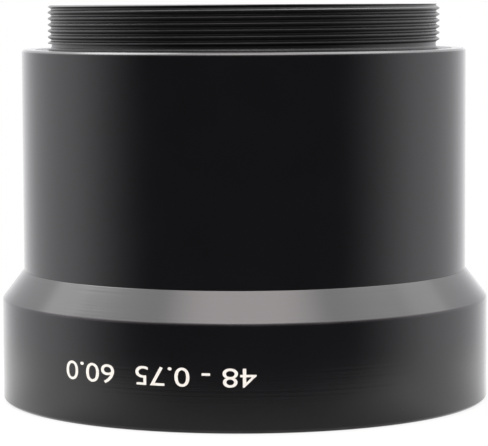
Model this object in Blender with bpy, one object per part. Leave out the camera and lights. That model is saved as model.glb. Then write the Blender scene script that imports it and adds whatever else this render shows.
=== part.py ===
"""Lens adapter tube, standing on its wide front end.

A turned aluminium tube that carries 58 mm accessories in front of a camera. The camera end, on top, is a
ring with a male thread; the front end, below, is a flared ring with a female filter thread. Each end ring is
keyed by two dowel pins and drawn against the tube by a lock ring on a fine right-hand thread.
Metres, +Z up. The origin is at the middle of the front rim, which is what the tube stands on.
"""

import math
from typing import NamedTuple

import bmesh
import bpy
from mathutils import Matrix, Vector

MM = 0.001

# Threads: one pitch throughout, V grooves with 60 degree flanks
PITCH = 0.75 * MM
FLANK_SLOPE = math.tan(math.radians(30))
MALE_CREST = 0.16 * MM
FILTER_CREST = 0.19 * MM
LOCK_CREST = 0.1 * MM
FLANK_CLEARANCE = 0.1 * MM
RELIEF_EXTRA_DEPTH = 0.06 * MM
RELIEF_LENGTH = 0.8 * MM
RELIEF_OFFSET = 0.16 * MM

# Fits
SEAT_GAP = 0.1 * MM
SLIDING_GAP = 0.15 * MM
PIN_CLEARANCE = 0.08 * MM
PIN_ANGLE = math.radians(30)

# Outside of the body and of the front ring, from the front rim up
SKIRT_WALL = 1.0 * MM
SKIRT_HEIGHT = 12.5 * MM
CONE_HEIGHT = 3.4 * MM
CONE_STEP = 2.67 * MM
BODY_LENGTH = 27.3 * MM
RIM_CHAMFER = 0.45 * MM
EDGE_CHAMFER = 0.25 * MM

# Filter thread and the recess behind it, in the front ring
FILTER_THREAD_DIAMETER = 58.0 * MM
FILTER_THREAD_LENGTH = 4.0 * MM
FILTER_RELIEF_LENGTH = 0.8 * MM
FILTER_LEAD_IN = 0.3 * MM
FRONT_RECESS_DEPTH = 4.6 * MM

# Joint between the front ring and the tube
FRONT_SEAT_WIDTH = 1.83 * MM
FRONT_SPIGOT_WALL = 1.5 * MM
FRONT_LOCK_HEIGHT = 2.2 * MM
FRONT_LOCK_WALL = 1.85 * MM
FRONT_PIN_DIAMETER = 1.0 * MM
FRONT_PIN_LENGTH = 2.4 * MM

# Light-trap grooves in the bore of the tube
GROOVE_PITCH = 2.5 * MM
GROOVE_DEPTH = 0.6 * MM
GROOVE_WIDTH = 1.4 * MM
GROOVE_MARGIN = 2.0 * MM

# Camera thread on the mount ring, from its top down
CAMERA_THREAD_DIAMETER = 48.0 * MM
NECK_WALL = 3.2 * MM
NECK_HEIGHT = 5.2 * MM
NECK_LEAD_IN = 0.25 * MM
NECK_RELIEF_LENGTH = 0.7 * MM
NECK_FOOT_FILLET = 0.2 * MM
CAMERA_THREAD_START = 0.075 * MM

# Joint between the mount ring and the tube
POCKET_WALL = 1.68 * MM
FLANGE_THICKNESS = 1.5 * MM
LIP_THICKNESS = 1.8 * MM
REAR_LOCK_HEIGHT = 2.2 * MM
REAR_LOCK_WALL = 1.35 * MM
REAR_SPIGOT_WALL = 1.7 * MM
REAR_PIN_DIAMETER = 1.2 * MM
REAR_PIN_LENGTH = 2.2 * MM

# Lock rings
SPANNER_SLOT_WIDTH = 2.2 * MM
SPANNER_SLOT_DEPTH = 1.0 * MM
SPIGOT_RECESS = 0.2 * MM
SPIGOT_CHAMFER = 0.3 * MM
SPIGOT_THREAD_START = 0.11 * MM
LOCK_CHAMFER = 0.2 * MM

SEGMENTS = 40
PIN_SEGMENTS = 16
CUT_OVERSHOOT = 0.5 * MM
WELD_DISTANCE = 0.002 * MM

# Stations along the axis
Z_STOP = FILTER_THREAD_LENGTH + FILTER_RELIEF_LENGTH
Z_LAND = Z_STOP + FRONT_RECESS_DEPTH
Z_CONE_TOP = SKIRT_HEIGHT + CONE_HEIGHT
Z_TUBE_SEAT = Z_CONE_TOP + SEAT_GAP
Z_SHOULDER = Z_CONE_TOP + BODY_LENGTH
Z_TOP = Z_SHOULDER + NECK_HEIGHT
Z_FLANGE_UNDER = Z_SHOULDER - FLANGE_THICKNESS
Z_LIP_TOP = Z_FLANGE_UNDER - SEAT_GAP
Z_LIP_UNDER = Z_LIP_TOP - LIP_THICKNESS
Z_FRONT_LOCK_TOP = Z_LAND - SEAT_GAP
Z_FRONT_LOCK_FOOT = Z_FRONT_LOCK_TOP - FRONT_LOCK_HEIGHT
Z_REAR_LOCK_TOP = Z_LIP_UNDER - SEAT_GAP
Z_REAR_LOCK_FOOT = Z_REAR_LOCK_TOP - REAR_LOCK_HEIGHT
Z_TUBE_FOOT = Z_FRONT_LOCK_FOOT + SPIGOT_RECESS
Z_MOUNT_FOOT = Z_REAR_LOCK_FOOT + SPIGOT_RECESS

# Height of a spigot groove's middle at +X; its lock ring's groove is half a pitch away
FRONT_THREAD_PHASE = Z_TUBE_FOOT + SPIGOT_THREAD_START
REAR_THREAD_PHASE = Z_MOUNT_FOOT + SPIGOT_THREAD_START

# Radii, worked out inwards from the filter thread through the walls and the gaps between the pieces
SKIRT_RADIUS = FILTER_THREAD_DIAMETER / 2 + SKIRT_WALL
BODY_RADIUS = SKIRT_RADIUS - CONE_STEP
FRONT_SPIGOT_RADIUS = BODY_RADIUS - FRONT_SEAT_WIDTH
FRONT_BORE_RADIUS = FRONT_SPIGOT_RADIUS + SLIDING_GAP
FRONT_LOCK_RADIUS = FRONT_SPIGOT_RADIUS + FRONT_LOCK_WALL
TUBE_BORE_RADIUS = FRONT_SPIGOT_RADIUS - FRONT_SPIGOT_WALL
POCKET_RADIUS = BODY_RADIUS - POCKET_WALL
FLANGE_RADIUS = POCKET_RADIUS - SLIDING_GAP
REAR_LOCK_RADIUS = TUBE_BORE_RADIUS - SLIDING_GAP
REAR_SPIGOT_RADIUS = REAR_LOCK_RADIUS - REAR_LOCK_WALL
LIP_RADIUS = REAR_SPIGOT_RADIUS + SLIDING_GAP


class PinPair(NamedTuple):
    """Two dowel pins on opposite sides of a circle, each half in the piece below and half in that above."""

    diameter: float
    length: float
    radius: float
    joint: float

    def middles(self):
        """Middle points of the two pins."""
        first = Vector((self.radius * math.cos(PIN_ANGLE), self.radius * math.sin(PIN_ANGLE), self.joint))
        return [first, Vector((-first.x, -first.y, self.joint))]

    def holes(self):
        """Cutters for the holes that the pins fit."""
        radius = self.diameter / 2 + PIN_CLEARANCE
        return [cylinder(radius, self.length + 2 * PIN_CLEARANCE, middle) for middle in self.middles()]


# Each pair stands in the middle of the land between the bore and the edge of the pieces that it keys
FRONT_PINS = PinPair(
    diameter=FRONT_PIN_DIAMETER,
    length=FRONT_PIN_LENGTH,
    radius=(FRONT_BORE_RADIUS + BODY_RADIUS) / 2,
    joint=Z_CONE_TOP + SEAT_GAP / 2,
)
REAR_PINS = PinPair(
    diameter=REAR_PIN_DIAMETER,
    length=REAR_PIN_LENGTH,
    radius=(LIP_RADIUS + FLANGE_RADIUS) / 2,
    joint=Z_LIP_TOP + SEAT_GAP / 2,
)


def material(name, colour, roughness, metallic):
    """A Principled BSDF with one colour, roughness and metallic value."""
    made = bpy.data.materials.new(name)
    made.use_nodes = True
    shader = made.node_tree.nodes["Principled BSDF"]
    shader.inputs["Base Color"].default_value = (*colour, 1.0)
    shader.inputs["Roughness"].default_value = roughness
    shader.inputs["Metallic"].default_value = metallic
    return made


def place(name, bm, finish, parent=None):
    """Turn a bmesh into a named object with its material, shaded smooth between sharp edges."""
    bmesh.ops.recalc_face_normals(bm, faces=bm.faces)
    mesh = bpy.data.meshes.new(name)
    bm.to_mesh(mesh)
    bm.free()
    mesh.shade_smooth()
    mesh.set_sharp_from_angle(angle=math.radians(30))
    made = bpy.data.objects.new(name, mesh)
    if finish is not None:
        mesh.materials.append(finish)
    made.parent = parent
    bpy.context.collection.objects.link(made)
    return made


def turned(name, profile, finish, parent):
    """A ring turned about Z from a closed outline of (radius, height) points."""
    bm = bmesh.new()
    corners = [bm.verts.new((radius, 0.0, height)) for radius, height in profile]
    edges = [bm.edges.new((corner, corners[index - 1])) for index, corner in enumerate(corners)]
    bmesh.ops.spin(
        bm,
        geom=[*corners, *edges],
        cent=(0.0, 0.0, 0.0),
        axis=(0.0, 0.0, 1.0),
        angle=math.tau,
        steps=SEGMENTS,
        use_merge=True,
    )
    return place(name, bm, finish, parent)


def cut(target, shapes):
    """Take the volume of shapes that are clear of each other out of the target, with one guide object."""
    joined = bmesh.new()
    for shape in shapes:
        mesh = bpy.data.meshes.new("cut")
        shape.to_mesh(mesh)
        shape.free()
        joined.from_mesh(mesh)
        bpy.data.meshes.remove(mesh)
    guide = place(f"{target.name}_cuts", joined, None)
    guide.hide_render = True
    guide.display_type = "WIRE"
    boolean = target.modifiers.new("cuts", "BOOLEAN")
    boolean.operation = "DIFFERENCE"
    boolean.object = guide
    weld = target.modifiers.new("weld", "WELD")
    weld.merge_threshold = WELD_DISTANCE


def helical_groove(section, low, high, phase):
    """A right-hand helical cutter whose (radius, offset) section climbs from height low to height high.

    The section's middle is at height phase, plus whole pitches, where it crosses the XZ plane at +X, so
    cutters of one phase are in step with each other wherever they start and end.
    """
    rise = PITCH / SEGMENTS
    first = math.ceil((low - phase) / rise)
    steps = math.ceil((high - phase) / rise) - first
    start = phase + first * rise
    turn = Matrix.Rotation(math.tau * first / SEGMENTS, 3, "Z")
    bm = bmesh.new()
    corners = [bm.verts.new(turn @ Vector((radius, 0.0, start + offset))) for radius, offset in section]
    bmesh.ops.spin(
        bm,
        geom=[bm.faces.new(corners)],
        cent=(0.0, 0.0, 0.0),
        axis=(0.0, 0.0, 1.0),
        dvec=(0.0, 0.0, rise),
        angle=math.tau * steps / SEGMENTS,
        steps=steps,
    )
    return bm


def groove_depth(crest):
    """Depth of a V groove that leaves a crest this wide between its turns."""
    return (PITCH - crest) / 2 / FLANK_SLOPE


def groove_section(mouth_radius, crest, outward):
    """Outline of a V groove cut from the mouth radius, outward into a bore or inward into a spigot.

    It reaches past the mouth by a quarter of the crest's run, where its neighbouring turns are still apart.
    """
    side = 1.0 if outward else -1.0
    overshoot = crest / 4 / FLANK_SLOPE
    mouth = (PITCH - crest) / 2 + overshoot * FLANK_SLOPE
    start = mouth_radius - side * overshoot
    return (
        (mouth_radius + side * groove_depth(crest), 0.0),
        (start, mouth),
        (start, -mouth),
    )


def lock_bore(spigot_radius):
    """Bore of a lock ring whose grooves clear the spigot's ridges by the flank clearance on both sides."""
    return spigot_radius - ((PITCH - LOCK_CREST - MALE_CREST) / 2 - FLANK_CLEARANCE) / FLANK_SLOPE


def cylinder(radius, height, middle):
    """An upright cylinder in a new bmesh."""
    bm = bmesh.new()
    bmesh.ops.create_cone(
        bm,
        cap_ends=True,
        segments=PIN_SEGMENTS,
        radius1=radius,
        radius2=radius,
        depth=height,
        matrix=Matrix.Translation(middle),
    )
    return bm


def dowel_pins(name, pair, finish, parent):
    """The two pins of a pair, as separate pieces."""
    for number, middle in enumerate(pair.middles(), 1):
        shape = cylinder(pair.diameter / 2, pair.length, (0.0, 0.0, 0.0))
        pin = place(f"{name}_{number}", shape, finish, parent)
        pin.location = middle


def spanner_slots(foot, reach):
    """One bar across a lock ring's lower face cuts both of its spanner slots."""
    bm = bmesh.new()
    bmesh.ops.create_cube(bm, size=1.0)
    height = SPANNER_SLOT_DEPTH + CUT_OVERSHOOT
    bmesh.ops.scale(bm, vec=(2 * (reach + CUT_OVERSHOOT), SPANNER_SLOT_WIDTH, height), verts=bm.verts)
    bmesh.ops.translate(bm, vec=(0.0, 0.0, foot + SPANNER_SLOT_DEPTH - height / 2), verts=bm.verts)
    return bm


def spigot_outline(radius, seat, lock_top, foot):
    """Outer side of a threaded spigot, from its seat down past the thread's relief to its chamfered foot."""
    relief = lock_top + RELIEF_OFFSET
    relief_radius = radius - groove_depth(MALE_CREST) - RELIEF_EXTRA_DEPTH
    return [
        (radius, seat),
        (radius, relief + RELIEF_LENGTH),
        (relief_radius, relief + RELIEF_LENGTH),
        (relief_radius, relief),
        (radius, relief),
        (radius, foot + SPIGOT_CHAMFER),
        (radius - SPIGOT_CHAMFER, foot),
    ]


def front_ring(finish, parent):
    """Flared ring: skirt, cone, filter thread, lock-ring recess and the bore for the tube's spigot."""
    major = FILTER_THREAD_DIAMETER / 2
    minor = major - groove_depth(FILTER_CREST)
    relief = major + RELIEF_EXTRA_DEPTH
    recess = FRONT_LOCK_RADIUS + SLIDING_GAP
    lead_in = major + FILTER_LEAD_IN / 2
    profile = [
        (lead_in, 0.0),
        (SKIRT_RADIUS - EDGE_CHAMFER, 0.0),
        (SKIRT_RADIUS, EDGE_CHAMFER),
        (SKIRT_RADIUS, SKIRT_HEIGHT),
        (BODY_RADIUS, Z_CONE_TOP),
        (FRONT_BORE_RADIUS, Z_CONE_TOP),
        (FRONT_BORE_RADIUS, Z_LAND),
        (recess, Z_LAND),
        (recess, Z_STOP),
        (relief, Z_STOP),
        (relief, FILTER_THREAD_LENGTH),
        (minor, FILTER_THREAD_LENGTH),
        (minor, lead_in - minor),
    ]
    ring = turned("front_ring", profile, finish, parent)
    section = groove_section(minor, FILTER_CREST, outward=True)
    end = FILTER_THREAD_LENGTH + FILTER_RELIEF_LENGTH / 2
    cut(ring, [helical_groove(section, -PITCH, end, 0.0), *FRONT_PINS.holes()])


def main_tube(finish, parent):
    """Body with its lip for the mount ring, light-trap grooves and threaded front spigot."""
    outer = [
        (BODY_RADIUS - RIM_CHAMFER, Z_SHOULDER),
        (BODY_RADIUS, Z_SHOULDER - RIM_CHAMFER),
        (BODY_RADIUS, Z_TUBE_SEAT),
        *spigot_outline(FRONT_SPIGOT_RADIUS, Z_TUBE_SEAT, Z_FRONT_LOCK_TOP, Z_TUBE_FOOT),
    ]
    inner = [(TUBE_BORE_RADIUS, Z_TUBE_FOOT)]
    low = Z_TUBE_SEAT + GROOVE_MARGIN
    high = Z_REAR_LOCK_FOOT - GROOVE_MARGIN
    for step in range(int((high - low) / GROOVE_PITCH) + 1):
        middle = low + step * GROOVE_PITCH
        inner += [
            (TUBE_BORE_RADIUS, middle - GROOVE_WIDTH / 2),
            (TUBE_BORE_RADIUS + GROOVE_DEPTH, middle),
            (TUBE_BORE_RADIUS, middle + GROOVE_WIDTH / 2),
        ]
    inner += [
        (TUBE_BORE_RADIUS, Z_LIP_UNDER),
        (LIP_RADIUS, Z_LIP_UNDER),
        (LIP_RADIUS, Z_LIP_TOP),
        (POCKET_RADIUS, Z_LIP_TOP),
        (POCKET_RADIUS, Z_SHOULDER),
    ]
    tube = turned("main_tube", outer + inner, finish, parent)
    section = groove_section(FRONT_SPIGOT_RADIUS, MALE_CREST, outward=False)
    end = Z_FRONT_LOCK_TOP + RELIEF_OFFSET + RELIEF_LENGTH / 2
    thread = helical_groove(section, Z_TUBE_FOOT - PITCH, end, FRONT_THREAD_PHASE)
    cut(tube, [thread, *FRONT_PINS.holes(), *REAR_PINS.holes()])


def mount_ring(finish, parent):
    """Camera end: threaded neck on a flange, with a threaded spigot below for the lock ring.

    The neck and the spigot keep walls of their own. Where their bores differ, the flange tapers from one
    to the other.
    """
    major = CAMERA_THREAD_DIAMETER / 2
    neck_bore = major - NECK_WALL
    spigot_bore = REAR_SPIGOT_RADIUS - REAR_SPIGOT_WALL
    relief = major - groove_depth(MALE_CREST) - RELIEF_EXTRA_DEPTH
    relief_top = Z_SHOULDER + NECK_RELIEF_LENGTH
    profile = [
        (neck_bore, Z_TOP),
        (major - NECK_LEAD_IN, Z_TOP),
        (major, Z_TOP - NECK_LEAD_IN),
        (major, relief_top),
        (relief, relief_top),
        (relief, Z_SHOULDER + NECK_FOOT_FILLET),
        (relief + NECK_FOOT_FILLET, Z_SHOULDER),
        (FLANGE_RADIUS, Z_SHOULDER),
        (FLANGE_RADIUS, Z_FLANGE_UNDER),
        *spigot_outline(REAR_SPIGOT_RADIUS, Z_FLANGE_UNDER, Z_REAR_LOCK_TOP, Z_MOUNT_FOOT),
        (spigot_bore, Z_MOUNT_FOOT),
        (spigot_bore, Z_FLANGE_UNDER),
        (neck_bore, Z_SHOULDER),
    ]
    ring = turned("mount_ring", profile, finish, parent)
    section = groove_section(major, MALE_CREST, outward=False)
    low = relief_top - NECK_RELIEF_LENGTH / 2
    camera_thread = helical_groove(section, low, Z_TOP + PITCH, Z_TOP - CAMERA_THREAD_START)
    section = groove_section(REAR_SPIGOT_RADIUS, MALE_CREST, outward=False)
    end = Z_REAR_LOCK_TOP + RELIEF_OFFSET + RELIEF_LENGTH / 2
    spigot_thread = helical_groove(section, Z_MOUNT_FOOT - PITCH, end, REAR_THREAD_PHASE)
    cut(ring, [camera_thread, spigot_thread, *REAR_PINS.holes()])


def lock_ring(name, spigot_radius, outer_radius, top, foot, phase, finish, parent):
    """Threaded ring with two spanner slots, in step with the spigot's thread."""
    bore = lock_bore(spigot_radius)
    profile = [
        (bore, top),
        (outer_radius - LOCK_CHAMFER, top),
        (outer_radius, top - LOCK_CHAMFER),
        (outer_radius, foot + LOCK_CHAMFER),
        (outer_radius - LOCK_CHAMFER, foot),
        (bore, foot),
    ]
    ring = turned(name, profile, finish, parent)
    section = groove_section(bore, LOCK_CREST, outward=True)
    thread = helical_groove(section, foot - PITCH, top + PITCH, phase + PITCH / 2)
    cut(ring, [spanner_slots(foot, outer_radius)])
    cut(ring, [thread])


def main():
    """Build every piece under one empty at the middle of the front rim."""
    for old in list(bpy.data.objects):
        bpy.data.objects.remove(old)
    black = material("black_anodised_aluminium", (0.016, 0.015, 0.017), 0.34, 0.0)
    matt_black = material("matt_black_anodised_aluminium", (0.010, 0.010, 0.011), 0.6, 0.0)
    steel = material("steel", (0.55, 0.54, 0.52), 0.3, 1.0)
    tube_axis = bpy.data.objects.new("tube_axis", None)
    bpy.context.collection.objects.link(tube_axis)

    front_ring(black, tube_axis)
    main_tube(black, tube_axis)
    mount_ring(black, tube_axis)
    lock_ring(
        "front_lock_ring", FRONT_SPIGOT_RADIUS, FRONT_LOCK_RADIUS, Z_FRONT_LOCK_TOP, Z_FRONT_LOCK_FOOT,
        FRONT_THREAD_PHASE, matt_black, tube_axis,
    )
    lock_ring(
        "rear_lock_ring", REAR_SPIGOT_RADIUS, REAR_LOCK_RADIUS, Z_REAR_LOCK_TOP, Z_REAR_LOCK_FOOT,
        REAR_THREAD_PHASE, matt_black, tube_axis,
    )
    dowel_pins("front_locating_pin", FRONT_PINS, steel, tube_axis)
    dowel_pins("rear_locating_pin", REAR_PINS, steel, tube_axis)


main()
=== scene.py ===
"""Looks of a lens adapter tube: its nine pieces and two size marks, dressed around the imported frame.

Metres, +Z up, with sizes written in millimetres times MM. The tube stands on the rim of its front ring, the
camera end is on top, and -Y is the side that the photograph shows.
"""

import logging
import math
from dataclasses import dataclass
from enum import Enum
from typing import Any, NamedTuple, Optional, Sequence

import bmesh
import bpy
import numpy as np
from bmesh.types import BMEdge, BMesh, BMVert
from bpy.types import Material, Mesh, Node, NodeSocket, NodeTree, Object
from mathutils import Matrix, Vector


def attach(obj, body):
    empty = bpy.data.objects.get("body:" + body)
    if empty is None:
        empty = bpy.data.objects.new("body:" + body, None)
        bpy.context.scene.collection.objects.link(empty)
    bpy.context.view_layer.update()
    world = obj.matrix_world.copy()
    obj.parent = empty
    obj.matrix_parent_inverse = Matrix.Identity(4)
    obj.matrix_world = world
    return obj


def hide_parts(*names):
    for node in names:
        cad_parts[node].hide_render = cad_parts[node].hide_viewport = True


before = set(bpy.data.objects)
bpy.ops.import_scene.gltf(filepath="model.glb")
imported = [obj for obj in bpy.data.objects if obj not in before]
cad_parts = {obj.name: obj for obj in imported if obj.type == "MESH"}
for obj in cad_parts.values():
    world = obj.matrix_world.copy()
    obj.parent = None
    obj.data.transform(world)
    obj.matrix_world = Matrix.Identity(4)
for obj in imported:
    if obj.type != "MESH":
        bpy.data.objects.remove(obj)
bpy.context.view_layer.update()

LOG = logging.getLogger("lens_adapter_tube")

MM = 0.001
PURE_WHITE = "#FFFFFF"

# Mesh fineness
STEPS = 192
FULL_TURN = {"cent": (0.0, 0.0, 0.0), "axis": (0.0, 0.0, 1.0), "angle": math.tau, "steps": STEPS}
MERGE_DISTANCE = 0.002 * MM
SHARP_ANGLE = math.radians(40)
BRACE = 0.12 * MM
ROUND_SEGMENTS = 3
WEAR_LAYER = "edge_wear"

# Threads: one pitch throughout, with 60 degree flanks
PITCH = 0.75 * MM
FLANK_SLOPE = math.tan(math.radians(30))
LOCK_CREST = 0.1 * MM
MALE_CREST = 0.16 * MM
FLANK_CLEARANCE = 0.1 * MM
RELIEF_DEPTH = 0.06 * MM
RELIEF_OFFSET = 0.16 * MM
RELIEF_LENGTH = 0.8 * MM
SPIGOT_CHAMFER = 0.3 * MM

# Fits
PIN_CLEARANCE = 0.08 * MM
PIN_ANGLE = math.radians(30)

# Turned pieces: how far small edges are broken, how worn they are, and the width of the flat ring at the end
# of a thread
EDGE_BREAK = 0.06 * MM
EDGE_WEAR = 0.5
SMALL = (EDGE_BREAK, EDGE_WEAR)
FACE_MARGIN = 0.7 * MM


class Slot(Enum):
    """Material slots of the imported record."""

    BLACK = "black_anodised"
    MATT_BLACK = "matt_black_anodised"
    STEEL = "pin_steel"


class Side(Enum):
    """Which way a thread's grooves are cut from its ridge tops."""

    MALE = -1.0
    FEMALE = 1.0


class Corner(NamedTuple):
    """A corner of a turned outline: its place, how far its edge is rounded, and how worn that edge is."""

    radius: float
    height: float
    rounding: float = 0.0
    wear: float = 0.0


def linear(hex_colour: str) -> tuple[float, float, float, float]:
    """Turn an sRGB hex colour into linear RGBA.

    Args:
        hex_colour: Six hex digits after a hash.

    Returns:
        The colour with an alpha of 1.
    """
    channels = [int(hex_colour[place : place + 2], 16) / 255 for place in (1, 3, 5)]
    values = [c / 12.92 if c <= 0.04045 else ((c + 0.055) / 1.055) ** 2.4 for c in channels]
    return (values[0], values[1], values[2], 1.0)


def add_node(tree: NodeTree, kind: str, inputs: Optional[dict[Any, Any]] = None, **settings: Any) -> Node:
    """Add a node with its settings, values and links.

    Args:
        tree: The node tree.
        kind: The node's type name after "ShaderNode".
        inputs: A value or an output socket for each input, by name or number.
        **settings: Properties of the node.

    Returns:
        The node.
    """
    node = tree.nodes.new(f"ShaderNode{kind}")
    for name, value in settings.items():
        setattr(node, name, value)
    for name, value in (inputs or {}).items():
        if isinstance(value, NodeSocket):
            tree.links.new(value, node.inputs[name])
        else:
            node.inputs[name].default_value = value
    return node


def new_material(name: str) -> tuple[Material, NodeTree, NodeSocket]:
    """Make a material with an empty node tree.

    Args:
        name: The material's name.

    Returns:
        The material, its tree and the Object coordinates that its patterns are drawn on.
    """
    made = bpy.data.materials.new(name)
    made.use_nodes = True
    made.node_tree.nodes.clear()
    return made, made.node_tree, add_node(made.node_tree, "TexCoord").outputs["Object"]


def layer_colours(tree: NodeTree, base: str, layers: Sequence[tuple[NodeSocket, str]]) -> NodeSocket:
    """Lay colours over each other.

    Args:
        tree: The node tree.
        base: The lowest colour, as sRGB hex.
        layers: How far each layer covers what is below it, and its colour.

    Returns:
        The colour that is seen.
    """
    seen = linear(base)
    for cover, colour in layers:
        both = {"Factor": cover, 6: seen, 7: linear(colour)}
        seen = add_node(tree, "Mix", both, data_type="RGBA").outputs[2]
    return seen


def close_tree(
    tree: NodeTree, pattern: NodeSocket, span: tuple[float, float], looks: dict[str, Any]
) -> None:
    """End a material's tree in a shader whose roughness follows a pattern.

    Args:
        tree: The node tree.
        pattern: Values from 0 to 1.
        span: Roughness at 0 and at 1.
        looks: The shader's other inputs.
    """
    ends = {"Value": pattern, "To Min": span[0], "To Max": span[1]}
    roughness = add_node(tree, "MapRange", ends).outputs["Result"]
    shader = add_node(tree, "BsdfPrincipled", {"Roughness": roughness, **looks})
    add_node(tree, "OutputMaterial", {"Surface": shader.outputs[0]})


@dataclass(frozen=True)
class BlackAnodised:
    """Turned aluminium, etched, dyed black and sealed.

    The eye sees the gloss of a clear oxide film over black dye, so it shades as a dielectric: nearly black
    where it faces a dark room, and pale grey where it turns away to a white one. Tool lines run round it.
    """

    name: str = "black_anodised_turned_aluminium"
    dye: str = "#080709"
    dye_pale: str = "#0E0D10"
    worn: str = "#4A4648"
    dust: str = "#55524E"
    film_ior: float = 1.6
    smoothest: float = 0.12
    roughest: float = 0.18
    # Real tool feed is about 0.1 mm a turn, under a pixel, so the lines are drawn at 0.3 mm
    feed: float = 0.3 * MM
    line_depth: float = 0.009 * MM
    mottle_size: float = 5.0 * MM
    # The etched grain is finer than 0.05 mm, so it is drawn coarser
    grain_size: float = 0.16 * MM
    grain_depth: float = 0.002 * MM
    dust_spacing: float = 9.0 * MM
    dust_size: float = 0.11 * MM

    def material(self) -> Material:
        """Make the material.

        Returns:
            The material, with patterns on Object coordinates and the wear on the piece's own attribute.
        """
        made, tree, place = new_material(self.name)
        split = add_node(tree, "SeparateXYZ", {0: place}).outputs
        flat = add_node(tree, "VectorMath", {0: place, 1: (1.0, 1.0, 0.0)}, operation="MULTIPLY").outputs[0]
        radius = add_node(tree, "VectorMath", {0: flat}, operation="LENGTH").outputs["Value"]
        outline = add_node(tree, "CombineXYZ", {"X": radius, "Z": split["Z"]}).outputs[0]
        lines = add_node(
            tree, "TexNoise", {"Vector": outline, "Scale": 1 / self.feed, "Detail": 2.0, "Roughness": 0.6}
        ).outputs["Fac"]
        mottle = add_node(
            tree, "TexNoise", {"Vector": place, "Scale": 1 / self.mottle_size, "Detail": 3.0}
        ).outputs["Fac"]
        grain = add_node(
            tree, "TexNoise", {"Vector": place, "Scale": 1 / self.grain_size, "Detail": 1.0}
        ).outputs["Fac"]
        cells = {"Vector": place, "Scale": 1 / self.dust_spacing}
        dust = add_node(tree, "TexVoronoi", cells).outputs["Distance"]
        speck = add_node(
            tree, "Math", {0: dust, 1: self.dust_size / self.dust_spacing}, operation="LESS_THAN"
        ).outputs[0]
        attribute = add_node(tree, "Attribute", attribute_name=WEAR_LAYER).outputs["Fac"]
        wear = add_node(tree, "Math", {0: attribute, 1: mottle}, operation="MULTIPLY").outputs[0]
        layers = ((mottle, self.dye_pale), (wear, self.worn), (speck, self.dust))
        colour = layer_colours(tree, self.dye, layers)
        grained = add_node(
            tree, "Bump", {"Height": grain, "Distance": self.grain_depth, "Strength": 1.0}
        ).outputs["Normal"]
        turned = add_node(
            tree, "Bump", {"Height": lines, "Distance": self.line_depth, "Strength": 1.0, "Normal": grained}
        ).outputs["Normal"]
        looks = {"Base Color": colour, "IOR": self.film_ior, "Normal": turned}
        close_tree(tree, lines, (self.smoothest, self.roughest), looks)
        return made


@dataclass(frozen=True)
class MattBlackAnodised:
    """Bead-blasted aluminium, dyed black and sealed.

    Thousands of tiny dents scatter the film's gloss, so the eye sees an even, sooty black with no highlight.
    """

    name: str = "matt_black_anodised_blasted_aluminium"
    dye: str = "#0A0A0B"
    dye_pale: str = "#171618"
    worn: str = "#5A5658"
    film_ior: float = 1.6
    smoothest: float = 0.5
    roughest: float = 0.66
    # Blasting dents are about 0.05 mm, under a pixel, so they are drawn at 0.12 mm
    dent_size: float = 0.12 * MM
    dent_depth: float = 0.006 * MM
    mottle_size: float = 3.0 * MM

    def material(self) -> Material:
        """Make the material.

        Returns:
            The material, with patterns on Object coordinates and the wear on the piece's own attribute.
        """
        made, tree, place = new_material(self.name)
        cells = {"Vector": place, "Scale": 1 / self.dent_size}
        dents = add_node(tree, "TexVoronoi", cells).outputs["Distance"]
        mottle = add_node(
            tree, "TexNoise", {"Vector": place, "Scale": 1 / self.mottle_size, "Detail": 3.0}
        ).outputs["Fac"]
        attribute = add_node(tree, "Attribute", attribute_name=WEAR_LAYER).outputs["Fac"]
        wear = add_node(tree, "Math", {0: attribute, 1: mottle}, operation="MULTIPLY").outputs[0]
        colour = layer_colours(tree, self.dye, ((mottle, self.dye_pale), (wear, self.worn)))
        dented = add_node(
            tree, "Bump", {"Height": dents, "Distance": self.dent_depth, "Strength": 1.0}
        ).outputs["Normal"]
        looks = {"Base Color": colour, "IOR": self.film_ior, "Normal": dented}
        close_tree(tree, mottle, (self.smoothest, self.roughest), looks)
        return made


@dataclass(frozen=True)
class GroundSteel:
    """Hardened steel dowel, centreless ground.

    Bright grey metal with fine scratches round it, a little darker where the oil has dried.
    """

    name: str = "ground_steel"
    bright: str = "#C4C1BB"
    dull: str = "#9E9A93"
    smoothest: float = 0.22
    roughest: float = 0.42
    # Grinding scratches are about 0.01 mm wide, so they are drawn at 0.06 mm
    scratch_size: float = 0.06 * MM
    scratch_depth: float = 0.0008 * MM
    stain_size: float = 0.7 * MM

    def material(self) -> Material:
        """Make the material.

        Returns:
            The material, with patterns on Object coordinates.
        """
        made, tree, place = new_material(self.name)
        height = add_node(tree, "SeparateXYZ", {0: place}).outputs["Z"]
        rings = add_node(tree, "CombineXYZ", {"Z": height}).outputs[0]
        scratches = add_node(
            tree, "TexNoise", {"Vector": rings, "Scale": 1 / self.scratch_size, "Detail": 2.0}
        ).outputs["Fac"]
        stain = add_node(
            tree, "TexNoise", {"Vector": place, "Scale": 1 / self.stain_size, "Detail": 2.0}
        ).outputs["Fac"]
        colour = layer_colours(tree, self.bright, ((stain, self.dull),))
        ground = add_node(
            tree, "Bump", {"Height": scratches, "Distance": self.scratch_depth, "Strength": 1.0}
        ).outputs["Normal"]
        looks = {"Base Color": colour, "Metallic": 1.0, "Normal": ground}
        close_tree(tree, stain, (self.smoothest, self.roughest), looks)
        return made


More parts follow.
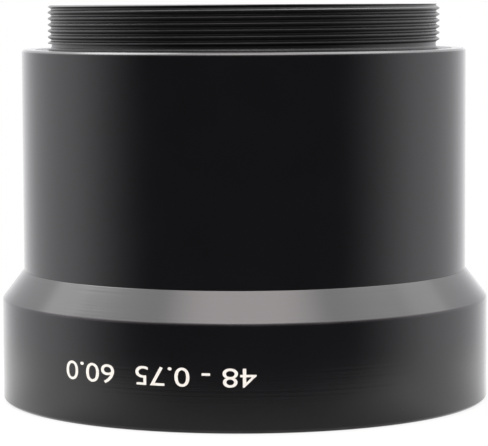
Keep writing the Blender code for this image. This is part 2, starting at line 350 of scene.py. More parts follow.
@dataclass(frozen=True)
class PrintedInk:
    """Cream screen-printing ink on anodised metal.

    A thin, flat film: chalky cream, with pinholes where the black below shows through a little.
    """

    name: str = "cream_printing_ink"
    thick: str = "#F4F0EA"
    thin: str = "#D4CEC4"
    smoothest: float = 0.45
    roughest: float = 0.6
    pinhole_size: float = 0.12 * MM

    def material(self) -> Material:
        """Make the material.

        Returns:
            The material, with its pattern on Object coordinates.
        """
        made, tree, place = new_material(self.name)
        cover = add_node(
            tree, "TexNoise", {"Vector": place, "Scale": 1 / self.pinhole_size, "Detail": 2.0}
        ).outputs["Fac"]
        colour = layer_colours(tree, self.thick, ((cover, self.thin),))
        close_tree(tree, cover, (self.smoothest, self.roughest), {"Base Color": colour})
        return made


@dataclass(frozen=True)
class Thread:
    """A right-hand V thread between two heights.

    The grooves are cut from the crest radius. A groove's middle is at height phase where it passes +X. The
    envelope is the outline, from low to high, that the ridges are turned back to at a lead-in.
    """

    side: Side
    crest_radius: float
    crest_width: float
    phase: float
    low: float
    high: float
    envelope: tuple[tuple[float, float], ...]
    root_width: float = 0.0
    crest_rounding: float = 0.05 * MM
    root_rounding: float = 0.06 * MM

    def root_radius(self) -> float:
        """Radius of the groove's bottom, between crests and roots of these widths."""
        depth = (PITCH - self.crest_width - self.root_width) / 2 / FLANK_SLOPE
        return self.crest_radius + self.side.value * depth

    def section(self, bm: BMesh) -> list[BMEdge]:
        """Draw the thread's outline in the XZ plane, from below its low end to above its high end.

        Args:
            bm: An empty bmesh, which takes the wire.

        Returns:
            The wire's edges.
        """
        bm.verts.layers.float.new(WEAR_LAYER)
        # Spare turns at both ends, because the helix climbs one pitch and the outermost corners stay sharp
        first = math.floor((self.low - self.phase) / PITCH) - 2
        last = math.ceil((self.high - self.phase) / PITCH) + 1
        roots, crests = [], []
        wire: list[BMVert] = []
        for turn in range(first, last + 1):
            middle = self.phase + turn * PITCH
            # A sharp root has one corner, because its two offsets are the same
            for offset in sorted({-self.root_width / 2, self.root_width / 2}):
                roots.append(bm.verts.new((self.root_radius(), 0.0, middle + offset)))
                wire.append(roots[-1])
            for offset in (-self.crest_width / 2, self.crest_width / 2):
                crests.append(bm.verts.new((self.crest_radius, 0.0, middle + PITCH / 2 + offset)))
                wire.append(crests[-1])
        for lower, upper in zip(wire, wire[1:]):
            bm.edges.new((lower, upper))
        round_off(bm, roots[1:], self.root_rounding)
        round_off(bm, crests[:-1], self.crest_rounding)
        return list(bm.edges)

    def ribbon(self) -> BMesh:
        """Make the threaded surface, cut off flat at its low and high ends.

        Returns:
            A bmesh whose only open edges are a loop of STEPS edges at each end.
        """
        bm = bmesh.new()
        edges = self.section(bm)
        heights = [vert.co.z for vert in bm.verts]
        order = np.argsort(heights)
        radii = np.array([vert.co.x for vert in bm.verts])[order]
        heights = np.array(heights)[order]
        whole = heights < heights[-1] - PITCH
        whole &= heights > heights[0] + PITCH
        bmesh.ops.spin(bm, geom=[*bm.verts, *edges], dvec=(0.0, 0.0, PITCH / STEPS), **FULL_TURN)
        bmesh.ops.remove_doubles(bm, verts=bm.verts, dist=MERGE_DISTANCE)
        limit_radii, limit_heights = zip(*self.envelope)
        for vert in bm.verts:
            angle = math.atan2(vert.co.y, vert.co.x)
            height = min(max(vert.co.z, self.low), self.high)
            radius = vert.co.xy.length
            if height != vert.co.z:
                at_start = height - PITCH * angle / math.tau
                radius = np.interp(at_start, heights[whole], radii[whole], period=PITCH)
            limit = np.interp(height, limit_heights, limit_radii)
            radius = min(radius, limit) if self.side is Side.MALE else max(radius, limit)
            vert.co = (radius * math.cos(angle), radius * math.sin(angle), height)
        bmesh.ops.remove_doubles(bm, verts=bm.verts, dist=MERGE_DISTANCE)
        return bm


def round_off(
    bm: BMesh, parts: Sequence[BMVert | BMEdge], rounding: float, affect: str = "VERTICES"
) -> list[BMVert]:
    """Round corners of a wire outline, or edges of a solid.

    Args:
        bm: The bmesh.
        parts: The corners, which have two wire edges each, or the edges.
        rounding: Distance at which a rounding starts.
        affect: VERTICES for corners and EDGES for edges.

    Returns:
        The vertices of the roundings.
    """
    made = bmesh.ops.bevel(
        bm,
        geom=list(parts),
        offset=rounding,
        offset_type="OFFSET",
        affect=affect,
        segments=ROUND_SEGMENTS,
        profile=0.5,
        material=-1,
    )
    return made["verts"]


def piece_of(
    name: str, bm: BMesh, finish: Material, body: str, node: Optional[str]
) -> Object:
    """Turn a bmesh into a piece that rides on a body of the frame.

    Args:
        name: The piece's name.
        bm: The bmesh, which is freed.
        finish: Its material.
        body: The body that it moves with.
        node: The CAD node that it stands for, if any.

    Returns:
        The piece.
    """
    mesh = bpy.data.meshes.new(name)
    bm.to_mesh(mesh)
    bm.free()
    mesh.materials.append(finish)
    made = bpy.data.objects.new(name, mesh)
    bpy.context.scene.collection.objects.link(made)
    shade(mesh)
    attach(made, body)
    if node is not None:
        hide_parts(node)
    LOG.info("%s: %d faces, rides on %s", name, len(mesh.polygons), body)
    return made


def shade(mesh: Mesh) -> None:
    """Shade a mesh smooth between its sharp edges."""
    mesh.shade_smooth()
    mesh.set_sharp_from_angle(angle=SHARP_ANGLE)


def cut(target: Object, cutters: Sequence[BMesh]) -> None:
    """Take cutters that are clear of each other out of a piece.

    Args:
        target: The piece, whose mesh is replaced.
        cutters: Closed shapes, which are freed.
    """
    joined = bmesh.new()
    for cutter in cutters:
        bmesh.ops.recalc_face_normals(cutter, faces=cutter.faces)
        merge_in(joined, cutter)
    mesh = bpy.data.meshes.new("cutter")
    joined.to_mesh(mesh)
    joined.free()
    guide = bpy.data.objects.new("cutter", mesh)
    bpy.context.scene.collection.objects.link(guide)
    boolean = target.modifiers.new("cuts", "BOOLEAN")
    boolean.operation = "DIFFERENCE"
    boolean.solver = "EXACT"
    boolean.object = guide
    evaluated = target.evaluated_get(bpy.context.evaluated_depsgraph_get())
    result = bpy.data.meshes.new_from_object(evaluated)
    target.modifiers.remove(boolean)
    old, target.data = target.data, result
    result.name = target.name
    bpy.data.meshes.remove(old)
    bpy.data.objects.remove(guide)
    bpy.data.meshes.remove(mesh)
    shade(result)


def blacken_inside(piece: Object, finish: Material, reach: float) -> None:
    """Give the faces that look inwards in a tube a finish of their own, against stray light.

    Args:
        piece: The piece.
        finish: The material of its inside.
        reach: Radius that the inside stays within.
    """
    materials = piece.data.materials
    materials.append(finish)
    for face in piece.data.polygons:
        if face.center.xy.length < reach and face.normal.xy.dot(face.center.xy) < -MERGE_DISTANCE:
            face.material_index = len(materials) - 1


def merge_in(bm: BMesh, added: BMesh) -> None:
    """Join a second bmesh to the first.

    Args:
        bm: The first, which grows.
        added: The second, which is freed.
    """
    mesh = bpy.data.meshes.new("joined")
    added.to_mesh(mesh)
    added.free()
    bm.from_mesh(mesh)
    bpy.data.meshes.remove(mesh)


class Lathe:
    """A bmesh that outlines are turned into, and threads cut into, about the Z axis."""

    def __init__(self) -> None:
        """Start with nothing in the chuck."""
        self.bm = bmesh.new()
        self.wear = self.bm.verts.layers.float.new(WEAR_LAYER)

    def turn(self, outline: Sequence[Corner]) -> None:
        """Turn an open outline, with its edges broken round.

        Args:
            outline: Corners in order.
        """
        corners = [self.bm.verts.new((corner.radius, 0.0, corner.height)) for corner in outline]
        for first, second in zip(corners, corners[1:]):
            self.bm.edges.new((first, second))
        for vert, corner in zip(corners, outline):
            if corner.rounding:
                for rounded in round_off(self.bm, [vert], corner.rounding):
                    rounded[self.wear] = corner.wear
        for edge in [edge for edge in self.bm.edges if edge.is_wire]:
            self.brace(edge)
        wire = [edge for edge in self.bm.edges if edge.is_wire]
        ends = {vert for edge in wire for vert in edge.verts}
        bmesh.ops.spin(self.bm, geom=[*ends, *wire], use_merge=True, **FULL_TURN)

    def brace(self, edge: BMEdge) -> None:
        """Split a long edge just inside its ends, so that its shading stays flat up to a rounded corner.

        Args:
            edge: An edge of the wire outline.
        """
        length = edge.calc_length()
        if length < 4 * BRACE:
            return
        start, end = edge.verts
        _, near = bmesh.utils.edge_split(edge, start, BRACE / length)
        rest = next(link for link in end.link_edges if link.is_wire and link.calc_length() > length / 2)
        _, far = bmesh.utils.edge_split(rest, end, BRACE / (length - BRACE))
        near[self.wear] = far[self.wear] = 0.0

    def screw(self, thread: Thread, low_radius: Optional[float], high_radius: Optional[float]) -> None:
        """Cut a thread, and face its ends off to rings that the turned outlines meet.

        Args:
            thread: The thread.
            low_radius: Radius of the ring at its low end, or None where the thread ends in a plain ring.
            high_radius: The same at its high end.
        """
        ribbon = thread.ribbon()
        for height, radius in ((thread.low, low_radius), (thread.high, high_radius)):
            if radius is None:
                continue
            loop = [
                edge
                for edge in ribbon.edges
                if edge.is_boundary and all(abs(vert.co.z - height) < MERGE_DISTANCE for vert in edge.verts)
            ]
            made = bmesh.ops.extrude_edge_only(ribbon, edges=loop)["geom"]
            for vert in made:
                if isinstance(vert, BMVert):
                    vert.co.xy = vert.co.xy.normalized() * radius
        merge_in(self.bm, ribbon)

    def take_off(self, name: str, finish: Material) -> Object:
        """Join what was turned and cut into one closed shell, and make it a piece of the part.

        Args:
            name: Name of the body and of the CAD node that it stands for.
            finish: Its material.

        Returns:
            The piece.
        """
        bmesh.ops.remove_doubles(self.bm, verts=self.bm.verts, dist=MERGE_DISTANCE)
        bmesh.ops.recalc_face_normals(self.bm, faces=self.bm.faces)
        loose = sum(1 for edge in self.bm.edges if not edge.is_manifold)
        if loose:
            LOG.warning("%d edges of a turned piece are open", loose)
        return piece_of(f"{name}_turned", self.bm, finish, name, name)


def spigot_thread(radius: float, foot: float, lock_top: float, phase: float) -> Thread:
    """Thread of a spigot that a lock ring runs on.

    Args:
        radius: The spigot's outer radius.
        foot: Height of its chamfered foot.
        lock_top: Height of the lock ring's top face.
        phase: Height of a groove's middle at +X.

    Returns:
        The thread, from the foot to its relief.
    """
    return Thread(
        side=Side.MALE,
        crest_radius=radius,
        crest_width=MALE_CREST,
        phase=phase,
        low=foot,
        high=lock_top + RELIEF_OFFSET,
        envelope=((radius - SPIGOT_CHAMFER, foot), (radius, foot + SPIGOT_CHAMFER)),
    )


@dataclass
class DowelPair:
    """Two steel dowel pins on opposite sides of a circle, and the holes that they fit."""

    name: str
    body: str
    diameter: float
    length: float
    radius: float
    joint: float
    end_rounding: float = 0.12 * MM
    segments: int = 32

    def middles(self) -> list[Vector]:
        """Middle points of the two pins."""
        first = Vector((self.radius * math.cos(PIN_ANGLE), self.radius * math.sin(PIN_ANGLE), self.joint))
        return [first, Vector((-first.x, -first.y, self.joint))]

    def upright(self, radius: float, height: float, middle: Vector) -> BMesh:
        """Make a plain upright cylinder.

        Args:
            radius: Its radius.
            height: Its height.
            middle: Its middle point.

        Returns:
            The cylinder.
        """
        bm = bmesh.new()
        bmesh.ops.create_cone(
            bm,
            cap_ends=True,
            segments=self.segments,
            radius1=radius,
            radius2=radius,
            depth=height,
            matrix=Matrix.Translation(middle),
        )
        return bm

    def holes(self) -> list[BMesh]:
        """Cutters for the holes."""
        radius = self.diameter / 2 + PIN_CLEARANCE
        return [self.upright(radius, self.length + 2 * PIN_CLEARANCE, middle) for middle in self.middles()]

    def build(self, finish: Material) -> None:
        """Make the two pins, with rounded ends.

        Args:
            finish: Their material.
        """
        for number, middle in enumerate(self.middles(), 1):
            bm = self.upright(self.diameter / 2, self.length, middle)
            rims = []
            for edge in bm.edges:
                start, end = edge.verts
                if abs(start.co.z - end.co.z) < MERGE_DISTANCE:
                    rims.append(edge)
            round_off(bm, rims, self.end_rounding, "EDGES")
            name = f"{self.name}_{number}"
            piece_of(f"{name}_ground", bm, finish, self.body, name)


@dataclass
class LockRing:
    """Threaded ring with two spanner slots, in step with the thread of the spigot that it runs on."""

    name: str
    spigot_radius: float
    radius: float
    foot: float
    phase: float
    height: float = 2.2 * MM
    chamfer: float = 0.2 * MM
    lead_in: float = 0.1 * MM
    crest_rounding: float = 0.03 * MM
    slot_width: float = 2.2 * MM
    slot_depth: float = 1.0 * MM
    edge_break: float = 0.05 * MM
    edge_wear: float = 0.7

    def bore(self) -> float:
        """Radius of the ridge tops, which clear the spigot's grooves on both flanks."""
        play = (PITCH - LOCK_CREST - MALE_CREST) / 2 - FLANK_CLEARANCE
        return self.spigot_radius - play / FLANK_SLOPE

    def slots(self) -> BMesh:
        """Make one bar that cuts both spanner slots.

        Returns:
            The bar, across the ring's lower face.
        """
        bm = bmesh.new()
        bmesh.ops.create_cube(bm, size=1.0)
        past_both_sides = 3 * self.radius
        bmesh.ops.scale(bm, vec=(past_both_sides, self.slot_width, 2 * self.slot_depth), verts=bm.verts)
        bmesh.ops.translate(bm, vec=(0.0, 0.0, self.foot), verts=bm.verts)
        return bm

    def build(self, finish: Material) -> None:
        """Turn, thread and slot the ring.

        Args:
            finish: Its material.
        """
        bore, top = self.bore(), self.foot + self.height
        face = bore + FACE_MARGIN
        broken = (self.edge_break, self.edge_wear)
        lathe = Lathe()
        outline = [
            Corner(face, top),
            Corner(self.radius - self.chamfer, top, *broken),
            Corner(self.radius, top - self.chamfer, *broken),
            Corner(self.radius, self.foot + self.chamfer, *broken),
            Corner(self.radius - self.chamfer, self.foot, *broken),
            Corner(face, self.foot),
        ]
        lathe.turn(outline)
        thread = Thread(
            side=Side.FEMALE,
            crest_radius=bore,
            crest_width=LOCK_CREST,
            phase=self.phase + PITCH / 2,
            low=self.foot,
            high=top,
            envelope=(
                (bore + self.lead_in, self.foot),
                (bore, self.foot + self.lead_in),
                (bore, top - self.lead_in),
                (bore + self.lead_in, top),
            ),
            crest_rounding=self.crest_rounding,
        )
        lathe.screw(thread, face, face)
        ring = lathe.take_off(self.name, finish)
        cut(ring, [self.slots()])


@dataclass
class SizeMark:
    """Plain numbers printed on the skirt, upside down as the tube stands."""

    name: str
    text: str
    azimuth: float
    width: float
    height: float
    radius: float
    letter_height: float = 2.2 * MM
    slice_width: float = 0.4 * MM
    curve_steps: int = 6
    # In the font's own units, where a letter is about 1 high
    font_merge: float = 1e-4

    def lettering(self) -> BMesh:
        """Make the numbers flat, centred on the origin, as a mesh in the XY plane.

        Returns:
            The lettering, in slices narrow enough to wrap.
        """
        curve = bpy.data.curves.new(self.name, "FONT")
        curve.body = self.text
        curve.size = 1.0
        curve.align_x = "CENTER"
        curve.align_y = "CENTER"
        curve.resolution_u = self.curve_steps
        holder = bpy.data.objects.new(self.name, curve)
        bpy.context.scene.collection.objects.link(holder)
        evaluated = holder.evaluated_get(bpy.context.evaluated_depsgraph_get())
        mesh = bpy.data.meshes.new_from_object(evaluated)
        bm = bmesh.new()
        bm.from_mesh(mesh)
        bpy.data.objects.remove(holder)
        bpy.data.curves.remove(curve)
        bpy.data.meshes.remove(mesh)
        bmesh.ops.remove_doubles(bm, verts=bm.verts, dist=self.font_merge)
        axes = list(zip(*(vert.co for vert in bm.verts)))
        lowest, highest = (Vector([end(values) for values in axes]) for end in (min, max))
        bmesh.ops.translate(bm, vec=-(lowest + highest) / 2, verts=bm.verts)
        wide, high, _ = highest - lowest
        scale = self.letter_height / high
        bmesh.ops.scale(bm, vec=(self.width / wide, scale, scale), verts=bm.verts)
        reach = int(self.width / 2 / self.slice_width)
        for step in range(-reach, reach + 1):
            bmesh.ops.bisect_plane(
                bm,
                geom=[*bm.verts, *bm.edges, *bm.faces],
                plane_co=(step * self.slice_width, 0.0, 0.0),
                plane_no=(1.0, 0.0, 0.0),
            )
        return bm

    def build(self, finish: Material, body: str) -> None:
        """Wrap the numbers round the skirt.

        Args:
            finish: Their material.
            body: The body that carries them.
        """
        bm = self.lettering()
        for vert in bm.verts:
            angle = math.radians(self.azimuth) - vert.co.x / self.radius
            height = self.height - vert.co.y
            vert.co = (self.radius * math.sin(angle), -self.radius * math.cos(angle), height)
        bmesh.ops.triangulate(bm, faces=bm.faces)
        for face in bm.faces:
            face.normal_update()
            if face.normal.dot(face.calc_center_median() * Vector((1.0, 1.0, 0.0))) < 0:
                face.normal_flip()
        piece_of(self.name, bm, finish, body, None)


@dataclass
class FrontRing:
    """Flared front ring: skirt, cone, filter thread, lock-ring recess and the bore for the tube's spigot."""

    name: str = "front_ring"
    skirt_radius: float = 29.985 * MM
    skirt_height: float = 12.5 * MM
    cone_top: float = 15.98 * MM
    body_radius: float = 27.33 * MM
    seam_break: float = 0.015 * MM
    bore: float = 25.65 * MM
    land: float = 9.4 * MM
    recess: float = 27.5 * MM
    stop: float = 4.8 * MM
    thread_major: float = 29.0 * MM
    thread_length: float = 4.0 * MM
    thread_crest: float = 0.19 * MM
    lead_in: float = 0.15 * MM
    foot_chamfer: float = 0.25 * MM
    skirt_edge: float = 0.14 * MM
    mark_proud: float = 0.012 * MM

    def build(self, finish: Material, ink: Material, pins: DowelPair) -> None:
        """Turn, thread, drill and mark the ring.

        Args:
            finish: Its material.
            ink: Material of its marks.
            pins: The pins whose holes are drilled.
        """
        minor = self.thread_major - (PITCH - self.thread_crest) / 2 / FLANK_SLOPE
        relief = self.thread_major + RELIEF_DEPTH
        mouth = self.thread_major + self.lead_in
        lathe = Lathe()
        outline = [
            Corner(mouth, 0.0),
            Corner(self.skirt_radius - self.foot_chamfer, 0.0, *SMALL),
            Corner(self.skirt_radius, self.foot_chamfer, *SMALL),
            Corner(self.skirt_radius, self.skirt_height, self.skirt_edge, EDGE_WEAR),
            Corner(self.body_radius, self.cone_top, self.seam_break),
            Corner(self.bore, self.cone_top, *SMALL),
            Corner(self.bore, self.land, *SMALL),
            Corner(self.recess, self.land, *SMALL),
            Corner(self.recess, self.stop, *SMALL),
            Corner(relief, self.stop, *SMALL),
            Corner(relief, self.thread_length),
        ]
        lathe.turn(outline)
        thread = Thread(
            side=Side.FEMALE,
            crest_radius=minor,
            crest_width=self.thread_crest,
            phase=0.0,
            low=0.0,
            high=self.thread_length,
            envelope=((mouth, 0.0), (minor, mouth - minor)),
        )
        lathe.screw(thread, None, relief)
        ring = lathe.take_off(self.name, finish)
        cut(ring, pins.holes())
        radius = self.skirt_radius + self.mark_proud
        for name, text, azimuth, width, height in (
            ("size_mark_long", "48 - 0.75", -11.1, 14.2 * MM, 6.4 * MM),
            ("size_mark_short", "60.0", -36.9, 7.2 * MM, 6.3 * MM),
        ):
            SizeMark(name, text, azimuth, width, height, radius).build(ink, self.name)


@dataclass
class MainTube:
    """Body of the adapter: chamfered rim, lip for the mount ring, light-trap grooves and threaded spigot."""

    name: str = "main_tube"
    radius: float = 27.33 * MM
    shoulder: float = 43.02 * MM
    rim_chamfer: float = 0.27 * MM
    seat: float = 16.0 * MM
    seam_break: float = 0.015 * MM
    foot: float = 7.3 * MM
    spigot_radius: float = 25.5 * MM
    front_lock_top: float = 9.3 * MM
    bore: float = 24.0 * MM
    pocket: float = 25.65 * MM
    lip_top: float = 41.6 * MM
    lip_under: float = 39.8 * MM
    lip_bore: float = 22.65 * MM
    first_groove: float = 18.0 * MM
    last_groove: float = 35.5 * MM
    groove_pitch: float = 2.5 * MM
    groove_depth: float = 0.6 * MM
    groove_width: float = 1.4 * MM
    thread_phase: float = 7.41 * MM

    def light_trap(self) -> list[Corner]:
        """Outline the V grooves in the bore.

        Returns:
            Their corners, from the top down.
        """
        corners = []
        count = round((self.last_groove - self.first_groove) / self.groove_pitch)
        for step in range(count, -1, -1):
            middle = self.first_groove + step * self.groove_pitch
            corners += [
                Corner(self.bore, middle + self.groove_width / 2, *SMALL),
                Corner(self.bore + self.groove_depth, middle, EDGE_BREAK),
                Corner(self.bore, middle - self.groove_width / 2, *SMALL),
            ]
        return corners

    def build(self, finish: Material, inside: Material, front_pins: DowelPair, rear_pins: DowelPair) -> None:
        """Turn, thread, drill and blacken the tube.

        Args:
            finish: Its material.
            inside: Material of its bore.
            front_pins: Pins whose holes are drilled in its seat.
            rear_pins: Pins whose holes are drilled in its lip.
        """
        thread = spigot_thread(self.spigot_radius, self.foot, self.front_lock_top, self.thread_phase)
        relief = thread.root_radius() - RELIEF_DEPTH
        relief_top = thread.high + RELIEF_LENGTH
        face = self.spigot_radius - FACE_MARGIN
        lathe = Lathe()
        outline = [
            Corner(relief, thread.high),
            Corner(relief, relief_top, *SMALL),
            Corner(self.spigot_radius, relief_top, *SMALL),
            Corner(self.spigot_radius, self.seat, *SMALL),
            Corner(self.radius, self.seat, self.seam_break),
            Corner(self.radius, self.shoulder - self.rim_chamfer, *SMALL),
            Corner(self.radius - self.rim_chamfer, self.shoulder, *SMALL),
            Corner(self.pocket, self.shoulder, *SMALL),
            Corner(self.pocket, self.lip_top, *SMALL),
            Corner(self.lip_bore, self.lip_top, *SMALL),
            Corner(self.lip_bore, self.lip_under, *SMALL),
            Corner(self.bore, self.lip_under, *SMALL),
            *self.light_trap(),
            Corner(self.bore, self.foot, *SMALL),
            Corner(face, self.foot),
        ]
        lathe.turn(outline)
        lathe.screw(thread, face, relief)
        tube = lathe.take_off(self.name, finish)
        cut(tube, [*front_pins.holes(), *rear_pins.holes()])
        blacken_inside(tube, inside, self.bore + self.groove_depth + EDGE_BREAK)


@dataclass
class MountRing:
    """Camera end: a threaded neck on a flange, with a threaded spigot below for the rear lock ring."""

    name: str = "mount_ring"
    thread_major: float = 24.1 * MM
    top: float = 48.4 * MM
    lead_in: float = 0.3 * MM
    lead_in_height: float = 0.17 * MM
    thread_start: float = 0.135 * MM
    thread_end: float = 43.72 * MM
    foot_step: float = 0.14 * MM
    foot_bevel_height: float = 0.18 * MM
    foot_bevel_width: float = 0.12 * MM
    flange_radius: float = 25.5 * MM
    flange_top: float = 43.02 * MM
    flange_under: float = 41.7 * MM
    spigot_radius: float = 22.5 * MM
    rear_lock_top: float = 39.7 * MM
    foot: float = 37.7 * MM
    bore: float = 20.8 * MM
    thread_phase: float = 37.81 * MM
    crest_rounding: float = 0.014 * MM
    root_rounding: float = 0.03 * MM
    flat_width: float = PITCH / 5
    foot_break: float = 0.03 * MM

    def camera_thread(self) -> Thread:
        """Lay out the neck's thread.

        Returns:
            The thread, from its relief to its lead-in.
        """
        return Thread(
            side=Side.MALE,
            crest_radius=self.thread_major,
            crest_width=self.flat_width,
            root_width=self.flat_width,
            phase=self.top - self.thread_start,
            low=self.thread_end,
            high=self.top,
            envelope=(
                (self.thread_major, self.top - self.lead_in_height),
                (self.thread_major - self.lead_in, self.top),
            ),
            crest_rounding=self.crest_rounding,
            root_rounding=self.root_rounding,
        )

    def build(self, finish: Material, inside: Material, pins: DowelPair) -> None:
        """Turn, thread, drill and blacken the ring.

        Args:
            finish: Its material.
            inside: Material of its bore.
            pins: Pins whose holes are drilled in its flange.
        """
        neck = self.camera_thread()
        spigot = spigot_thread(self.spigot_radius, self.foot, self.rear_lock_top, self.thread_phase)
        neck_relief = neck.root_radius() - RELIEF_DEPTH
        spigot_relief = spigot.root_radius() - RELIEF_DEPTH
        relief_top = spigot.high + RELIEF_LENGTH
        top_face = self.thread_major - FACE_MARGIN
        foot_face = self.spigot_radius - FACE_MARGIN
        step_top = self.flange_top + self.foot_step
        lathe = Lathe()
        outline = [
            Corner(neck_relief, neck.low),
            Corner(neck_relief, step_top + self.foot_bevel_height, self.foot_break),
            Corner(neck_relief + self.foot_bevel_width, step_top, self.foot_break),
            Corner(neck_relief + self.foot_bevel_width, self.flange_top, self.foot_break),
            Corner(self.flange_radius, self.flange_top, *SMALL),
            Corner(self.flange_radius, self.flange_under, *SMALL),
            Corner(self.spigot_radius, self.flange_under, *SMALL),
            Corner(self.spigot_radius, relief_top, *SMALL),
            Corner(spigot_relief, relief_top, *SMALL),
            Corner(spigot_relief, spigot.high),
        ]
        lathe.turn(outline)
        outline = [
            Corner(foot_face, self.foot),
            Corner(self.bore, self.foot, *SMALL),
            Corner(self.bore, self.top, *SMALL),
            Corner(top_face, self.top),
        ]
        lathe.turn(outline)
        lathe.screw(neck, neck_relief, top_face)
        lathe.screw(spigot, foot_face, spigot_relief)
        ring = lathe.take_off(self.name, finish)
        cut(ring, pins.holes())
        blacken_inside(ring, inside, self.bore + EDGE_BREAK)


@dataclass(frozen=True)
class TentPanel:
    """A bright panel of the light tent: where it hangs, how wide it is and how bright its middle is.

    Azimuth is from the camera's side towards +X. The panel is even out to its core angle, and fades to
    nothing at its edge angle. All three, and the elevation, are in degrees.
    """

    azimuth: float
    elevation: float
    core: float
    edge: float
    level: float
    tint: str = PURE_WHITE

    def direction(self) -> tuple[float, float, float]:
        """Work out where the panel hangs.

        Returns:
            Unit vector from the tube to the panel's middle.
        """
        azimuth, elevation = math.radians(self.azimuth), math.radians(self.elevation)
        out = math.cos(elevation)
        return (out * math.sin(azimuth), -out * math.cos(azimuth), math.sin(elevation))


@dataclass
class Studio:
    """White paper floor in a white light tent that is open, and so dark, on the camera's side.

    What the tube mirrors of the floor is painted: painted shade before it, painted light beside and behind
    it.
    Where a change runs with direction, its ends are the direction's Y, from -1 at the camera to 1 at the
    back.
    """

    floor_radius: float = 95 * MM
    floor_depth: float = 0.05 * MM
    floor_tone: str = "#C4C4C4"
    camera_shadow: float = 0.2
    fade_from: float = 34 * MM
    fade_to: float = 52 * MM
    # Painted reflection of the floor: painted shade before the tube, painted light beside and behind it
    painted_shade_near: float = 0.36
    painted_shade_far: float = 0.1
    front_reach: float = 75 * MM
    side_from: float = -1.0
    side_to: float = -0.45
    painted_light_side: float = 1.06
    back_from: float = -0.35
    back_to: float = 0.3
    painted_light_back: float = 1.27
    mirror_fade_from: float = 48 * MM
    mirror_fade_to: float = 85 * MM
    room_white: str = "#FDFCFF"
    room_dark: float = 0.06
    room_bright: float = 1.06
    dark_until: float = -0.7
    bright_from: float = 0.2
    panels: tuple[TentPanel, ...] = (
        TentPanel(azimuth=0.0, elevation=90.0, core=30.0, edge=80.0, level=2.25),
        TentPanel(azimuth=0.0, elevation=69.0, core=8.0, edge=30.0, level=2.9, tint="#FFF1F1"),
        TentPanel(azimuth=-123.0, elevation=57.0, core=8.0, edge=20.0, level=5.0),
        TentPanel(azimuth=123.0, elevation=62.0, core=8.0, edge=22.0, level=2.3),
        TentPanel(azimuth=-117.0, elevation=36.0, core=5.0, edge=13.0, level=1.0),
        TentPanel(azimuth=117.0, elevation=36.0, core=5.0, edge=13.0, level=0.6),
        TentPanel(azimuth=180.0, elevation=0.0, core=10.0, edge=50.0, level=0.25),
    )

    def build(self) -> None:
        """Make the floor and the light tent."""
        self.lay_floor()
        self.light_room()

    def lay_floor(self) -> None:
        """Lay a round sheet of white paper just under the tube."""
        bm = bmesh.new()
        bmesh.ops.create_circle(
            bm,
            cap_ends=True,
            segments=STEPS,
            radius=self.floor_radius,
            matrix=Matrix.Translation((0.0, 0.0, -self.floor_depth)),
        )
        mesh = bpy.data.meshes.new("paper_floor")
        bm.to_mesh(mesh)
        bm.free()
        mesh.materials.append(self.white_paper())
        floor = bpy.data.objects.new("paper_floor", mesh)
        bpy.context.scene.collection.objects.link(floor)

    def white_paper(self) -> Material:
        """Make the paper's material: soft shadow, painted shade and light in reflections, fading into the
        room.

        Returns:
            The material.
        """
        made, tree, place = new_material("white_paper")
        made.cycles.emission_sampling = "NONE"
        path = add_node(tree, "LightPath").outputs
        mirrored = add_node(
            tree, "Math", {0: path["Is Glossy Ray"], 1: path["Is Transmission Ray"]}, operation="MAXIMUM"
        ).outputs[0]
        radius = add_node(tree, "VectorMath", {0: place}, operation="LENGTH").outputs["Value"]
        outward = add_node(tree, "VectorMath", {0: place}, operation="NORMALIZE").outputs["Vector"]
        facing = add_node(tree, "SeparateXYZ", {0: outward}).outputs["Y"]
        ramps = []
        for value, begin, end, low, high, kind in (
            (radius, self.fade_from, self.fade_to, 1.0 - self.camera_shadow, 1.0, "SMOOTHSTEP"),
            (facing, self.side_from, self.side_to, 0.0, 1.0, "SMOOTHSTEP"),
            (radius, self.fade_from, self.front_reach, self.painted_shade_near, self.painted_shade_far, "LINEAR"),
            (facing, self.back_from, self.back_to, self.painted_light_side, self.painted_light_back, "SMOOTHSTEP"),
            (radius, self.mirror_fade_from, self.mirror_fade_to, 0.0, mirrored, "SMOOTHSTEP"),
        ):
            ends = {"Value": value, "From Min": begin, "From Max": end, "To Min": low, "To Max": high}
            ramps.append(add_node(tree, "MapRange", ends, interpolation_type=kind).outputs["Result"])
        camera_glow, beside, before, around, faded = ramps
        seen_glow = add_node(
            tree, "Math", {0: path["Is Camera Ray"], 1: camera_glow}, operation="MULTIPLY"
        ).outputs[0]
        share = add_node(tree, "Math", {0: seen_glow, 1: mirrored}, operation="MAXIMUM").outputs[0]
        # Mirrored rays see painted shade before the tube and painted light beside and behind it
        painted_reflection = add_node(tree, "Mix", {"Factor": beside, 2: before, 3: around}).outputs[0]
        level = add_node(tree, "Mix", {"Factor": mirrored, 2: 1.0, 3: painted_reflection}).outputs[0]
        paper = add_node(tree, "BsdfDiffuse", {"Color": linear(self.floor_tone)}).outputs[0]
        glow = add_node(tree, "Emission", {"Color": linear(PURE_WHITE), "Strength": level}).outputs[0]
        lit = add_node(tree, "MixShader", {0: share, 1: paper, 2: glow}).outputs[0]
        behind = add_node(tree, "NewGeometry").outputs["Backfacing"]
        unseen = add_node(tree, "Math", {0: behind, 1: faded}, operation="MAXIMUM").outputs[0]
        clear = add_node(tree, "BsdfTransparent").outputs[0]
        sheet = add_node(tree, "MixShader", {0: unseen, 1: lit, 2: clear}).outputs[0]
        add_node(tree, "OutputMaterial", {"Surface": sheet})
        return made

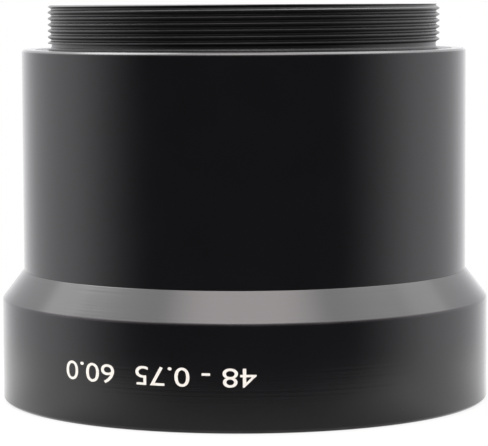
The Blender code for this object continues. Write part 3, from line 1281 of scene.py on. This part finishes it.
    def light_room(self) -> None:
        """Make the room: white to the camera, else dark in front and white at the sides and back."""
        world = bpy.data.worlds.new("white_room")
        bpy.context.scene.world = world
        world.use_nodes = True
        tree = world.node_tree
        tree.nodes.clear()
        direction = add_node(tree, "TexCoord").outputs["Generated"]
        depth = add_node(tree, "SeparateXYZ", {0: direction}).outputs["Y"]
        level = add_node(
            tree,
            "MapRange",
            {
                "Value": depth,
                "From Min": self.dark_until,
                "From Max": self.bright_from,
                "To Min": self.room_dark,
                "To Max": self.room_bright,
            },
            interpolation_type="SMOOTHSTEP",
        ).outputs["Result"]
        white = linear(self.room_white)
        light = add_node(tree, "Background", {"Color": white, "Strength": level}).outputs[0]
        for panel in self.panels:
            facing = add_node(
                tree, "VectorMath", {0: direction, 1: panel.direction()}, operation="DOT_PRODUCT"
            ).outputs["Value"]
            share = add_node(
                tree,
                "MapRange",
                {
                    "Value": facing,
                    "From Min": math.cos(math.radians(panel.edge)),
                    "From Max": math.cos(math.radians(panel.core)),
                    "To Max": panel.level,
                },
                interpolation_type="SMOOTHSTEP",
            ).outputs["Result"]
            glow = add_node(tree, "Background", {"Color": linear(panel.tint), "Strength": share}).outputs[0]
            light = add_node(tree, "AddShader", {0: light, 1: glow}).outputs[0]
        camera = add_node(tree, "LightPath").outputs["Is Camera Ray"]
        paper = add_node(tree, "Background", {"Color": linear(PURE_WHITE), "Strength": 1.0}).outputs[0]
        room = add_node(tree, "MixShader", {0: camera, 1: light, 2: paper}).outputs[0]
        add_node(tree, "OutputWorld", {"Surface": room})


@dataclass
class PhotoCamera:
    """Camera at the photograph's place: level with the neck, tipped down, rolled a quarter of a degree."""

    place: tuple[float, float, float] = (-0.00006, -0.31081, 0.04876)
    pitch: float = 0.088
    roll: float = -0.0045
    focal_length: float = 185.18
    sensor_width: float = 36.0
    near_clip: float = 10 * MM

    def build(self) -> None:
        """Set the camera up as the scene's own."""
        data = bpy.data.cameras.new("photo_camera")
        data.lens = self.focal_length
        data.sensor_fit = "HORIZONTAL"
        data.sensor_width = self.sensor_width
        data.clip_start = self.near_clip
        camera = bpy.data.objects.new("photo_camera", data)
        turn = Matrix.Rotation(math.pi / 2 - self.pitch, 4, "X") @ Matrix.Rotation(self.roll, 4, "Z")
        camera.matrix_world = Matrix.Translation(self.place) @ turn
        bpy.context.scene.collection.objects.link(camera)
        bpy.context.scene.camera = camera


def main() -> None:
    """Set up the studio, then build and dress every piece of the tube."""
    logging.basicConfig(level=logging.INFO, format="%(name)s: %(message)s")
    bpy.context.scene.view_settings.view_transform = "Standard"
    PhotoCamera().build()
    Studio().build()
    black = BlackAnodised().material()
    # Screw cutting leaves a coarser face than a finishing cut, so the mount ring shines less
    cut_black = BlackAnodised("black_anodised_screw_cut_aluminium", smoothest=0.3, roughest=0.38).material()
    matt_black = MattBlackAnodised().material()
    steel = GroundSteel().material()
    ink = PrintedInk().material()
    front_pins = DowelPair(
        name="front_locating_pin",
        body="front_ring",
        diameter=1.0 * MM,
        length=2.4 * MM,
        radius=26.49 * MM,
        joint=15.95 * MM,
    )
    rear_pins = DowelPair(
        name="rear_locating_pin",
        body="main_tube",
        diameter=1.2 * MM,
        length=2.2 * MM,
        radius=24.075 * MM,
        joint=41.65 * MM,
    )
    front_pins.build(steel)
    rear_pins.build(steel)
    FrontRing().build(black, ink, front_pins)
    tube, mount = MainTube(), MountRing()
    tube.build(black, matt_black, front_pins, rear_pins)
    mount.build(cut_black, matt_black, rear_pins)
    for name, carrier, radius, foot in (
        ("front_lock_ring", tube, 27.35 * MM, 7.1 * MM),
        ("rear_lock_ring", mount, 23.85 * MM, 37.5 * MM),
    ):
        LockRing(name, carrier.spigot_radius, radius, foot, carrier.thread_phase).build(matt_black)


if __name__ == "__main__":
    main()
